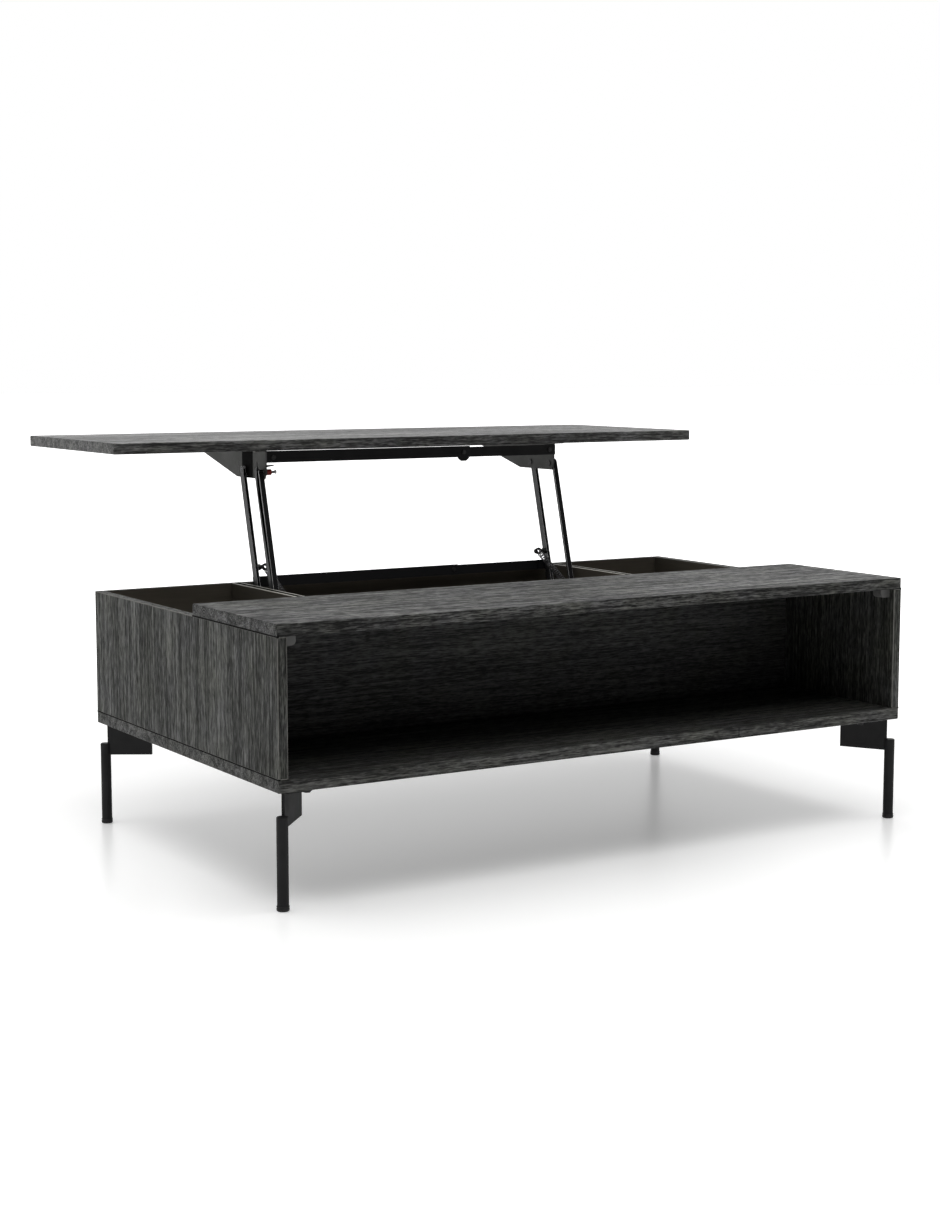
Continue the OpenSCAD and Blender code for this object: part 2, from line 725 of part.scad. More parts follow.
module upper_bar_screws() {
    color("#3a3a3a") from_front() on_upper_bar()
        for (p = [[-bar_hole_u, 2, plate_t], [bar_left_end - bar_tab_w/2, 2, 0], [bar_hole_u, 1, plate_t]])
            translate([p[0], -p[1]*bar_t, bar_mid]) rotate([-90, 0, 0]) {
                cylinder(h = p[1]*bar_t + p[2], r = screw_r);
                translate([0, 0, -screw_head_t]) cylinder(h = screw_head_t, r = screw_head_r);
                translate([0, 0, p[1]*bar_t + p[2]]) cylinder(h = 3, r = 4, $fn = 6);
            }
}

base_panel();
left_side_panel();
right_side_panel();
rear_panel();
shelf_back_panel();
fixed_front_top();
left_divider();
right_divider();
left_corner_block();
right_corner_block();
block_screws();
front_left_leg();
front_right_leg();
rear_left_leg();
rear_right_leg();
front_left_foot();
front_right_foot();
rear_left_foot();
rear_right_foot();
leg_bolts();
left_base_bracket();
right_base_bracket();
base_bracket_screws();
left_rear_base_pin();
left_front_base_pin();
right_rear_base_pin();
right_front_base_pin();
left_spring_anchor();
right_spring_anchor();
left_spring();
right_spring();
left_rear_arm();
right_rear_arm();
left_spring_pin();
right_spring_pin();
left_spring_eye();
right_spring_eye();
lower_bar_left();
lower_bar_right();
lower_bar_screws();
left_front_arm();
right_front_arm();
lift_top();
left_upper_bracket();
right_upper_bracket();
upper_bracket_screws();
left_rear_top_pin();
right_rear_top_pin();
left_front_top_bolt();
right_front_top_pin();
pivot_nut();
pivot_bush();
pivot_cap();
upper_bar_left();
upper_bar_right();
upper_bar_screws();
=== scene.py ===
import bpy
import bmesh
import json
import math
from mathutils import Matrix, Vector

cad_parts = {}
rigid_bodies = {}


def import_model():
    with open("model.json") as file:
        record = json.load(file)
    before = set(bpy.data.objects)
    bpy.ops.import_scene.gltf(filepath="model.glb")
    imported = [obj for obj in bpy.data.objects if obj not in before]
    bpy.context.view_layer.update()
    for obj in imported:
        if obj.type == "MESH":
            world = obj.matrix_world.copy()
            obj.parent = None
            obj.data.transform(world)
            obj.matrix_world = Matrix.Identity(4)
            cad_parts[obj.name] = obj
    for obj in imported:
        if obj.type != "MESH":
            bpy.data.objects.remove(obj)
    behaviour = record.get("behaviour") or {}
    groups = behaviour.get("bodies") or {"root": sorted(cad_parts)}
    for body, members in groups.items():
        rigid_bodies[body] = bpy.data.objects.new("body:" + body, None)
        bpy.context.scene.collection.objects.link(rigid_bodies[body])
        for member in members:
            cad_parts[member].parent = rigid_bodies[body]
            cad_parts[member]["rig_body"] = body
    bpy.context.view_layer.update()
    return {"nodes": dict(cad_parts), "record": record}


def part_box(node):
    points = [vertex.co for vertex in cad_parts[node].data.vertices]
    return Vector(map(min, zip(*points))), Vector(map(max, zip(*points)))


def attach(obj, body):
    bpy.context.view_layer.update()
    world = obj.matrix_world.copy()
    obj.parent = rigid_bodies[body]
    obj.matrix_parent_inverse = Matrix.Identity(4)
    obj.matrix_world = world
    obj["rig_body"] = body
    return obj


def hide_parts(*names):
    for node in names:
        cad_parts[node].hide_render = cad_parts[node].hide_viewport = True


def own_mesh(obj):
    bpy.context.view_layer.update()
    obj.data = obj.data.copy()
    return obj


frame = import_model()
nodes = frame["nodes"]
mm = 0.001
print("frame loaded,", len(nodes), "nodes")


# camera and light
camera = {
    "place": (-1.9071, -3.1501, 0.802),
    "yaw": 31.63,       # degrees, turned from +Y towards +X
    "pitch": -6.88,
    "lens": 61.53,
    "sensor": 36,
    "seesTo": 100,
}


def makeCamera(c):
    data = bpy.data.cameras.new("tableCamera")
    data.lens = c["lens"]
    data.sensor_width = c["sensor"]
    data.clip_end = c["seesTo"]
    obj = bpy.data.objects.new("tableCamera", data)
    obj.location = c["place"]
    obj.rotation_euler = (math.radians(90 + c["pitch"]), 0, math.radians(-c["yaw"]))
    bpy.context.scene.collection.objects.link(obj)
    bpy.context.scene.camera = obj


studio = {
    "backdropColor": (1.0, 1.0, 1.0),
    "wallLight": 1.0,         # light from the bright wall behind the table
    "roomLight": 0.05,        # light from the dark room in front of it
    "skyLight": 0.30,         # light from above
    "wallSide": (0.52, 0.85, 0.0),    # which way that wall stands from the table
    "wallEdges": (0.35, 0.92),    # how far round to the wall its light starts and is full
    "skyEdges": (0.45, 0.8),      # the same for the height of the sky
    "floorColor": (0.93, 0.93, 0.925),
    "floorRoughness": 0.28,
    "floorShine": 0.35,
    "floorSize": 80,
    "floorGlow": (0.22, 1.0),     # near the table, and far away where it meets the backdrop
    "glowToWall": (0.75, 2.4),    # metres from the table, where the glow starts and is full
    "glowAround": (2.4, 5.5),
    # each soft box: place, target, size, power in watts
    "softBoxes": {
        "overheadSoftBox": ((-0.2, -0.1, 3.0), (0, 0, 0), (4.2, 3.6), 125),
        "leftSoftBox": ((-4.2, 0.4, 1.9), (-0.4, 0, 0.3), (2.6, 1.8), 11),
    },
}


# smooth change of a value from one pair of numbers to another
def smoothRange(tree, value, start, end):
    node = tree.nodes.new("ShaderNodeMapRange")
    node.interpolation_type = "SMOOTHSTEP"
    node.inputs["From Min"].default_value, node.inputs["From Max"].default_value = start
    node.inputs["To Min"].default_value, node.inputs["To Max"].default_value = end
    tree.links.new(value, node.inputs["Value"])
    return node.outputs["Result"]


def makeWorld(s):
    world = bpy.data.worlds.new("studioWorld")
    bpy.context.scene.world = world
    world.use_nodes = True
    tree = world.node_tree
    place = tree.nodes.new("ShaderNodeTexCoord")
    facing = tree.nodes.new("ShaderNodeVectorMath")
    facing.operation = "DOT_PRODUCT"
    facing.inputs[1].default_value = s["wallSide"]
    tree.links.new(place.outputs["Generated"], facing.inputs[0])
    wall = smoothRange(tree, facing.outputs["Value"], s["wallEdges"], (s["roomLight"], s["wallLight"]))
    split = tree.nodes.new("ShaderNodeSeparateXYZ")
    tree.links.new(place.outputs["Generated"], split.inputs["Vector"])
    high = smoothRange(tree, split.outputs["Z"], s["skyEdges"], (0, 1))
    light = tree.nodes.new("ShaderNodeMix")
    light.data_type = "FLOAT"
    light.inputs[3].default_value = s["skyLight"]
    tree.links.new(high, light.inputs[0])
    tree.links.new(wall, light.inputs[2])
    # the camera itself sees an even white backdrop
    seen = tree.nodes.new("ShaderNodeLightPath")
    strength = tree.nodes.new("ShaderNodeMix")
    strength.data_type = "FLOAT"
    strength.inputs[3].default_value = 1.0
    tree.links.new(seen.outputs["Is Camera Ray"], strength.inputs[0])
    tree.links.new(light.outputs[0], strength.inputs[2])
    background = tree.nodes["Background"]
    background.inputs["Color"].default_value = (*s["backdropColor"], 1)
    tree.links.new(strength.outputs[0], background.inputs["Strength"])


def makeFloor(s):
    bpy.ops.mesh.primitive_plane_add(size=s["floorSize"])
    floor = bpy.context.object
    floor.name = "studioFloor"
    mat = bpy.data.materials.new("paleFloor")
    mat.use_nodes = True
    tree = mat.node_tree
    shader = tree.nodes["Principled BSDF"]
    shader.inputs["Base Color"].default_value = (*s["floorColor"], 1)
    shader.inputs["Roughness"].default_value = s["floorRoughness"]
    shader.inputs["Specular IOR Level"].default_value = s["floorShine"]
    shader.inputs["Emission Color"].default_value = (1, 1, 1, 1)
    place = tree.nodes.new("ShaderNodeTexCoord")

    # glow that grows with one measure of the floor's place
    def glow(kind, output, reach):
        measure = tree.nodes.new("ShaderNodeVectorMath")
        measure.operation = kind
        if kind == "DOT_PRODUCT":
            measure.inputs[1].default_value = s["wallSide"]
        tree.links.new(place.outputs["Object"], measure.inputs[0])
        return smoothRange(tree, measure.outputs[output], reach, s["floorGlow"])

    most = tree.nodes.new("ShaderNodeMath")
    most.operation = "MAXIMUM"
    tree.links.new(glow("DOT_PRODUCT", "Value", s["glowToWall"]), most.inputs[0])
    tree.links.new(glow("LENGTH", "Value", s["glowAround"]), most.inputs[1])
    tree.links.new(most.outputs[0], shader.inputs["Emission Strength"])
    floor.data.materials.append(mat)


def makeStudio(s):
    makeWorld(s)
    makeFloor(s)
    for name, (place, target, size, power) in s["softBoxes"].items():
        light = bpy.data.lights.new(name, "AREA")
        light.shape = "RECTANGLE"
        light.size, light.size_y = size
        light.energy = power
        obj = bpy.data.objects.new(name, light)
        obj.location = place
        aim = Vector(target) - Vector(place)
        obj.rotation_euler = aim.to_track_quat("-Z", "Y").to_euler()
        bpy.context.scene.collection.objects.link(obj)
    bpy.context.scene.view_settings.view_transform = "Standard"


makeCamera(camera)
makeStudio(studio)
print("camera and studio ready")


# a material with its nodes, and short ways to add to it
class Shader:
    def __init__(self, name):
        self.mat = bpy.data.materials.new(name)
        self.mat.use_nodes = True
        self.tree = self.mat.node_tree
        self.bsdf = self.tree.nodes["Principled BSDF"]
        self.place = self.tree.nodes.new("ShaderNodeTexCoord")

    def link(self, a, b):
        self.tree.links.new(a, b)

    def stretched(self, scale, offset=(0, 0, 0)):
        node = self.tree.nodes.new("ShaderNodeMapping")
        node.inputs["Scale"].default_value = scale
        node.inputs["Location"].default_value = offset
        self.link(self.place.outputs["Object"], node.inputs["Vector"])
        return node.outputs["Vector"]

    def noise(self, vector, detail=3, roughness=0.55, distortion=0):
        node = self.tree.nodes.new("ShaderNodeTexNoise")
        node.inputs["Scale"].default_value = 1
        node.inputs["Detail"].default_value = detail
        node.inputs["Roughness"].default_value = roughness
        node.inputs["Distortion"].default_value = distortion
        self.link(vector, node.inputs["Vector"])
        return node.outputs["Fac"]

    def band(self, value, low, high, start=0.0, end=1.0):
        node = self.tree.nodes.new("ShaderNodeMapRange")
        node.inputs["From Min"].default_value = low
        node.inputs["From Max"].default_value = high
        node.inputs["To Min"].default_value = start
        node.inputs["To Max"].default_value = end
        self.link(value, node.inputs["Value"])
        return node.outputs["Result"]

    # noise stretched out to cover nearly all of 0 to 1
    def clouds(self, scale, detail, spread=0.2):
        fac = self.noise(self.stretched(scale), detail, 0.6)
        return self.band(fac, 0.5 - spread, 0.5 + spread)

    # two values added by their weights
    def blend(self, a, weightA, b, weightB):
        return self.math("ADD", self.math("MULTIPLY", a, weightA), self.math("MULTIPLY", b, weightB))

    def math(self, kind, a, b=0):
        node = self.tree.nodes.new("ShaderNodeMath")
        node.operation = kind
        for socket, value in zip(node.inputs, (a, b)):
            if isinstance(value, (int, float)):
                socket.default_value = value
            else:
                self.link(value, socket)
        return node.outputs[0]

    def mix(self, factor, a, b, blend="MIX"):
        node = self.tree.nodes.new("ShaderNodeMix")
        node.data_type = "RGBA"
        node.blend_type = blend
        for socket, value in ((node.inputs[0], factor), (node.inputs[6], a), (node.inputs[7], b)):
            if isinstance(value, (int, float)):
                socket.default_value = value
            elif isinstance(value, tuple):
                socket.default_value = (*value, 1)
            else:
                self.link(value, socket)
        return node.outputs[2]

    def mixValue(self, factor, a, b):
        node = self.tree.nodes.new("ShaderNodeMix")
        node.data_type = "FLOAT"
        for socket, value in ((node.inputs[0], factor), (node.inputs[2], a), (node.inputs[3], b)):
            self.link(value, socket)
        return node.outputs[0]

    def bump(self, height, strength, distance):
        node = self.tree.nodes.new("ShaderNodeBump")
        node.inputs["Strength"].default_value = strength
        node.inputs["Distance"].default_value = distance
        self.link(height, node.inputs["Height"])
        self.link(node.outputs["Normal"], self.bsdf.inputs["Normal"])

    def axis(self, vector, name):
        node = self.tree.nodes.new("ShaderNodeSeparateXYZ")
        self.link(vector, node.inputs["Vector"])
        return node.outputs[name]


# one scale along an axis and another across it
def alongAxis(axis, along, across):
    return tuple(along if a == axis else across for a in "XYZ")


# stained oak
# width: how broad the figure is from front to back, next to the upright panels
oakLook = {
    "topOak": {"axis": "X", "dark": (0.006, 0.006, 0.006), "mid": (0.028, 0.028, 0.027),
               "light": (0.115, 0.115, 0.110),
               "shift": 3.1, "roughness": 0.50, "specular": 0.28, "width": 2.4},
    "lidOak": {"axis": "X", "dark": (0.006, 0.006, 0.006), "mid": (0.028, 0.028, 0.027),
               "light": (0.115, 0.115, 0.110),
               "shift": 21.4, "roughness": 0.42, "specular": 0.7, "width": 2.4},
    "sideOak": {"axis": "Z", "dark": (0.009, 0.009, 0.008), "mid": (0.032, 0.033, 0.030),
                "light": (0.115, 0.116, 0.108),
                "shift": 8.7, "roughness": 0.56, "specular": 0.3, "width": 1.0},
    "baseOak": {"axis": "X", "dark": (0.008, 0.008, 0.0075), "mid": (0.033, 0.033, 0.031),
                "light": (0.105, 0.105, 0.099),
                "shift": 5.3, "roughness": 0.54, "specular": 0.4, "width": 1.0},
    "shelfBackOak": {"axis": "X", "dark": (0.014, 0.014, 0.014), "mid": (0.030, 0.030, 0.030),
                     "light": (0.055, 0.055, 0.054),
                     "shift": 12.9, "roughness": 0.6, "specular": 0.35, "width": 1.0},
}
# how many per metre along and across the grain, weight, spread, detail, distortion
oakLayers = {
    "bands": (0.9, 12, 0.10, 0.2, 2, 0),           # broad changes of tone
    "figure": (1.8, 60, 0.20, 0.18, 3, 0.9),       # growth rings
    "streaks": (6, 230, 0.42, 0.2, 4, 0.25),
    "mottle": (70, 130, 0.12, 0.2, 3, 0),          # cloudy sheen
    "flecks": (60, 420, 0.36, 0.2, 2, 0),          # short light and dark fibres
}
oakGrain = {
    "pores": (45, 640), "poreWeight": 0.60, "poreEdges": (0.54, 0.64),
    "endSpeckle": 420, "endRings": (3, 42), "ringWaver": 2.2,
    "middleTone": 0.54,                            # tone where every layer is neutral
    "patches": 14, "olive": (0.98, 1.0, 0.90), "slate": (1.0, 1.0, 1.05),
    "bumpStrength": 0.5, "bumpDistance": 0.3 * mm,
}
# round knot in the left end of the fixed front top
knot = {"place": (-0.6, -0.252, 0.410), "reach": 15 * mm, "ring": 4.2 * mm, "strength": 0.75}
# upright joint in the front edge of the base panel
baseSeam = {"x": 0.246, "halfWidth": 0.7 * mm, "depth": 0.45}


def makeOak(name, look, grain):
    s = Shader(name)
    a = look["axis"]
    shift = (look["shift"], look["shift"] * 1.7, look["shift"] * 0.6)

    def grainScale(along, across):
        x, y, z = alongAxis(a, along, across)
        return (x, y / look["width"], z)

    # layers of noise, each centred on nought and scaled by its weight
    tone = None
    for along, across, weight, spread, detail, distortion in oakLayers.values():
        fac = s.noise(s.stretched(grainScale(along, across), shift), detail, 0.6, distortion)
        layer = s.band(fac, 0.5 - spread, 0.5 + spread, -weight, weight)
        tone = s.math("ADD", tone, layer) if tone else layer
    pores = s.noise(s.stretched(grainScale(*grain["pores"]), shift), 2)
    pores = s.band(pores, *grain["poreEdges"], 0, grain["poreWeight"])
    tone = s.math("ADD", s.math("SUBTRACT", tone, pores), grain["middleTone"])
    # faces across the grain show speckled end grain with growth rings
    speckle = s.noise(s.stretched((grain["endSpeckle"],) * 3, shift), 3, 0.6)
    rings = s.noise(s.stretched(alongAxis(a, *grain["endRings"]), shift), 2, 0.5, grain["ringWaver"])
    ends = s.math("ADD", s.band(speckle, 0.3, 0.7, -0.5, 0.5), s.band(rings, 0.3, 0.7, 0.1, 0.8))
    if name == "topOak":
        ends = addKnot(s, ends, knot)
    if name == "baseOak":
        tone = addSeam(s, tone, baseSeam)
    facing = s.math("ABSOLUTE", s.axis(s.place.outputs["Normal"], a))
    tone = s.mixValue(s.band(facing, 0.75, 0.85), tone, ends)
    # dark to mid over the lower half of the tone, mid to light above it
    lower = s.mix(s.band(tone, 0.0, 0.5), look["dark"], look["mid"])
    color = s.mix(s.band(tone, 0.5, 1.2), lower, look["light"])
    patches = s.band(s.noise(s.stretched((grain["patches"],) * 3, shift), 3), 0.35, 0.65)
    tint = s.mix(patches, grain["olive"], grain["slate"])
    s.link(s.mix(1.0, color, tint, "MULTIPLY"), s.bsdf.inputs["Base Color"])
    rough = s.band(tone, 0, 1, look["roughness"] + 0.12, look["roughness"] - 0.08)
    s.link(rough, s.bsdf.inputs["Roughness"])
    # open pores hardly shine
    shine = s.band(tone, 0.1, 1, look["specular"] * 0.5, look["specular"] * 1.5)
    s.link(shine, s.bsdf.inputs["Specular IOR Level"])
    s.bump(tone, grain["bumpStrength"], grain["bumpDistance"])
    return s.mat


# rings around one point, fading out at their reach
def addKnot(s, tone, k):
    away = s.tree.nodes.new("ShaderNodeVectorMath")
    away.operation = "DISTANCE"
    away.inputs[1].default_value = k["place"]
    s.link(s.place.outputs["Object"], away.inputs[0])
    wave = s.math("SINE", s.math("MULTIPLY", away.outputs["Value"], 2 * math.pi / k["ring"]))
    near = s.band(away.outputs["Value"], k["reach"] * 0.7, k["reach"], 1, 0)
    rings = s.band(wave, -1, 1, 0.0, k["strength"])
    return s.mixValue(near, tone, rings)


# dark upright line on the front face only
def addSeam(s, tone, seam):
    offset = s.math("SUBTRACT", s.axis(s.place.outputs["Object"], "X"), seam["x"])
    away = s.math("ABSOLUTE", offset)
    line = s.band(away, seam["halfWidth"], seam["halfWidth"] * 2, seam["depth"], 0)
    front = s.band(s.axis(s.place.outputs["Normal"], "Y"), -0.8, -0.6, 1, 0)
    return s.math("SUBTRACT", tone, s.math("MULTIPLY", line, front))


# dark laminate inside the wells
liningLook = {"dark": (0.050, 0.043, 0.033), "light": (0.088, 0.078, 0.062), "roughness": 0.42,
              "clouds": 4, "grain": (18, 18, 300), "fine": 900, "bump": 0.1 * mm}


def makeLining(name, look):
    s = Shader(name)
    cloudy = s.clouds((look["clouds"],) * 3, 4)
    tone = s.blend(cloudy, 0.6, s.clouds(look["grain"], 3), 0.4)
    s.link(s.mix(tone, look["dark"], look["light"]), s.bsdf.inputs["Base Color"])
    rough = s.band(cloudy, 0, 1, look["roughness"] + 0.08, look["roughness"] - 0.05)
    s.link(rough, s.bsdf.inputs["Roughness"])
    s.bump(s.noise(s.stretched((look["fine"],) * 3), 2, 0.5), 0.12, look["bump"])
    return s.mat


# grain: size of the surface texture in mm, bump: its depth in mm
metalLook = {
    "legPaint": {"dark": (0.005, 0.005, 0.0055), "light": (0.009, 0.009, 0.0095), "metallic": 0.0,
                 "roughness": 0.55, "specular": 0.25, "grain": 0.9, "bump": 0.03},
    "footPlastic": {"dark": (0.005, 0.005, 0.005), "light": (0.009, 0.009, 0.009), "metallic": 0.0,
                    "roughness": 0.5, "specular": 0.4, "grain": 0.6, "bump": 0.02},
    "blackBolts": {"dark": (0.008, 0.008, 0.009), "light": (0.018, 0.018, 0.018), "metallic": 0.2,
                   "roughness": 0.42, "specular": 0.4, "grain": 0.8, "bump": 0.02},
    "bracketSteel": {"dark": (0.030, 0.031, 0.028), "light": (0.050, 0.052, 0.047), "metallic": 0.0,
                     "roughness": 0.5, "specular": 0.3, "grain": 1.4, "bump": 0.03},
    "barSteel": {"dark": (0.003, 0.003, 0.0035), "light": (0.006, 0.006, 0.007), "metallic": 0.0,
                 "roughness": 0.5, "specular": 0.2, "grain": 1.2, "bump": 0.03},
    "blackPins": {"dark": (0.008, 0.008, 0.008), "light": (0.022, 0.022, 0.022), "metallic": 0.3,
                  "roughness": 0.38, "specular": 0.5, "grain": 0.8, "bump": 0.02},
    # painted highlight: very light steel for the bevels on the arms' long bends
    "armHighlightSteel": {"dark": (0.50, 0.50, 0.50), "light": (0.80, 0.80, 0.80), "metallic": 0.15,
                    "roughness": 0.32, "specular": 0.5, "grain": 1.0, "bump": 0.02},
    "zincScrews": {"dark": (0.10, 0.10, 0.095), "light": (0.22, 0.22, 0.21), "metallic": 0.8,
                   "roughness": 0.38, "specular": 0.5, "grain": 1.0, "bump": 0.02},
    "brightSteel": {"dark": (0.62, 0.62, 0.63), "light": (0.80, 0.80, 0.81), "metallic": 1.0,
                    "roughness": 0.14, "specular": 0.5, "grain": 2.0, "bump": 0.01},
    "redBush": {"dark": (0.22, 0.016, 0.010), "light": (0.36, 0.035, 0.022), "metallic": 0.0,
                "roughness": 0.45, "specular": 0.5, "grain": 1.5, "bump": 0.03},
    "greyPlastic": {"dark": (0.075, 0.075, 0.073), "light": (0.12, 0.12, 0.117), "metallic": 0.0,
                    "roughness": 0.55, "specular": 0.4, "grain": 0.7, "bump": 0.03},
    "springWire": {"dark": (0.05, 0.05, 0.052), "light": (0.16, 0.16, 0.165), "metallic": 0.7,
                   "roughness": 0.34, "specular": 0.5, "grain": 1.0, "bump": 0.02},
    # painted highlight: lighter oak for the eased edges of the side and rear panels
    "edgeHighlightOak": {"dark": (0.07, 0.069, 0.062), "light": (0.18, 0.177, 0.164), "metallic": 0.0,
                "roughness": 0.6, "specular": 0.4, "grain": 5.0, "bump": 0.10},
    # painted shade for the arms' front and rear faces; the arm rivets use it too
    "armShade": {"dark": (0.004, 0.004, 0.0045), "light": (0.010, 0.010, 0.011), "metallic": 0.0,
                 "roughness": 0.5, "specular": 0.15, "grain": 1.0, "bump": 0.02},
    "jointShadow": {"dark": (0.002, 0.002, 0.002), "light": (0.005, 0.005, 0.005), "metallic": 0.0,
                    "roughness": 0.9, "specular": 0.1, "grain": 2.0, "bump": 0.05},
}
metalClouds = 22    # broad changes of tone per metre


def makeMetal(name, look):
    s = Shader(name)
    cloudy = s.clouds((metalClouds,) * 3, 4)
    texture = s.noise(s.stretched((1 / (look["grain"] * mm),) * 3), 3, 0.6)
    tone = s.blend(cloudy, 0.7, s.band(texture, 0.3, 0.7), 0.3)
    s.link(s.mix(tone, look["dark"], look["light"]), s.bsdf.inputs["Base Color"])
    s.bsdf.inputs["Metallic"].default_value = look["metallic"]
    s.bsdf.inputs["Specular IOR Level"].default_value = look["specular"]
    rough = s.band(cloudy, 0, 1, look["roughness"] + 0.06, look["roughness"] - 0.06)
    s.link(rough, s.bsdf.inputs["Roughness"])
    s.bump(texture, 0.25, look["bump"] * mm)
    return s.mat


armLook = {"dark": (0.014, 0.015, 0.016), "light": (0.060, 0.061, 0.064), "metallic": 0.2,
           "roughness": 0.40, "lines": (700, 500, 14), "clouds": (30, 30, 12), "bump": 0.05 * mm}


# rolled steel with faint draw lines along the arm
def makeArmSteel(name, look):
    s = Shader(name)
    lines = s.clouds(look["lines"], 3, spread=0.18)
    tone = s.blend(lines, 0.45, s.clouds(look["clouds"], 4), 0.4)
    s.link(s.mix(tone, look["dark"], look["light"]), s.bsdf.inputs["Base Color"])
    s.bsdf.inputs["Metallic"].default_value = look["metallic"]
    rough = s.band(lines, 0, 1, look["roughness"] + 0.08, look["roughness"] - 0.05)
    s.link(rough, s.bsdf.inputs["Roughness"])
    s.bump(lines, 0.18, look["bump"])
    return s.mat


# painted highlights along both top edges of a divider, with a dark core between them
dividerHighlightLook = {"core": (0.006, 0.006, 0.005), "face": (0.36, 0.35, 0.31),
               "highlightWidth": 4.5 * mm, "blur": 0.5 * mm, "grain": (60, 9, 60), "bump": 0.2 * mm}


def makeDividerHighlight(name, look):
    s = Shader(name)
    lo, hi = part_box("right_divider")
    mirrored = s.math("ABSOLUTE", s.axis(s.place.outputs["Object"], "X"))    # for both dividers
    offset = s.math("ABSOLUTE", s.math("SUBTRACT", mirrored, (lo.x + hi.x) / 2))
    halfCore = (hi.x - lo.x) / 2 - look["highlightWidth"]
    grainy = s.band(s.noise(s.stretched(look["grain"]), 3), 0.3, 0.7, 0.8, 1.0)
    # painted highlight mask: light stripes along both edges of the top
    edge = s.band(offset, halfCore - look["blur"], halfCore + look["blur"])
    face = s.math("MULTIPLY", edge, grainy)
    s.link(s.mix(face, look["core"], look["face"]), s.bsdf.inputs["Base Color"])
    s.link(s.band(face, 0, 1, 0.9, 0.4), s.bsdf.inputs["Roughness"])
    s.link(s.band(face, 0, 1, 0.02, 0.6), s.bsdf.inputs["Specular IOR Level"])
    s.bump(face, 0.3, look["bump"])
    return s.mat


materials = {name: makeOak(name, look, oakGrain) for name, look in oakLook.items()}
materials.update({name: makeMetal(name, look) for name, look in metalLook.items()})
materials["wellLining"] = makeLining("wellLining", liningLook)
materials["armSteel"] = makeArmSteel("armSteel", armLook)
materials["dividerTopHighlight"] = makeDividerHighlight("dividerTopHighlight", dividerHighlightLook)
print("materials ready:", len(materials))


def addObject(name, mesh):
    obj = bpy.data.objects.new(name, mesh)
    bpy.context.scene.collection.objects.link(obj)
    return obj


# eased edges with clean shading, fixed into the mesh
# picked: only the edges that carry a bevel weight
def easeEdges(obj, width, segments=3, angle=30, picked=False, edgeMaterial=-1):
    for face in obj.data.polygons:
        face.use_smooth = True
    bevel = obj.modifiers.new("easedEdges", "BEVEL")
    bevel.width = width
    bevel.segments = segments
    bevel.limit_method = "WEIGHT" if picked else "ANGLE"
    bevel.angle_limit = math.radians(angle)
    bevel.use_clamp_overlap = not picked
    bevel.material = edgeMaterial
    weighted = obj.modifiers.new("flatFaces", "WEIGHTED_NORMAL")
    weighted.keep_sharp = True
    bpy.context.view_layer.update()
    seen = obj.evaluated_get(bpy.context.evaluated_depsgraph_get())
    mesh = bpy.data.meshes.new_from_object(seen)
    obj.modifiers.clear()
    obj.data = mesh


def bodyOf(node):
    return nodes[node]["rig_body"]


slotOf = {part["node"]: part["material_slot"] for part in frame["record"]["subparts"]}


# board panels
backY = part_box("shelf_back_panel")
wellEdgeY = (backY[0].y + backY[1].y) / 2
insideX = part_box("rear_panel")[1].x + 1 * mm    # anything nearer than this is inside the case
squareOn = 0.9                                  # how square a face must be to an axis


# which faces of a board carry the wells' lining
def noLining(face):
    return False


def sideLining(face):
    inward = abs(face.normal.x) > squareOn and abs(face.center.x) < insideX
    return inward and face.center.y > wellEdgeY


def baseLining(face):
    return face.normal.z > squareOn and face.center.y > wellEdgeY


def rearFaceLining(face):
    return face.normal.y > squareOn


def frontFaceLining(face):
    return face.normal.y < -squareOn


def uprightLining(face):
    return abs(face.normal.z) < 0.5


# node: oak, edge radius in mm, corner radius in mm, lining rule
boards = {
    "base_panel": ("baseOak", 1.4, 0, baseLining),
    "left_side_panel": ("sideOak", 1.3, 0, sideLining),
    "right_side_panel": ("sideOak", 1.3, 0, sideLining),
    "rear_panel": ("sideOak", 0.8, 0, frontFaceLining),
    "shelf_back_panel": ("shelfBackOak", 0.6, 0, rearFaceLining),
    "fixed_front_top": ("topOak", 1.8, 3, noLining),
    "lift_top": ("lidOak", 1.8, 3, noLining),
    "left_divider": ("shelfBackOak", 1.2, 0, uprightLining),
    "right_divider": ("shelfBackOak", 1.2, 0, uprightLining),
}


def boardOutline(lo, hi, radius, steps=6):
    if radius == 0:
        return [(lo.x, lo.y), (hi.x, lo.y), (hi.x, hi.y), (lo.x, hi.y)]
    points = []
    for cx, cy, start in ((hi.x - radius, hi.y - radius, 0), (lo.x + radius, hi.y - radius, 90),
                          (lo.x + radius, lo.y + radius, 180), (hi.x - radius, lo.y + radius, 270)):
        for i in range(steps + 1):
            turn = math.radians(start + 90 * i / steps)
            points.append((cx + radius * math.cos(turn), cy + radius * math.sin(turn)))
    return points


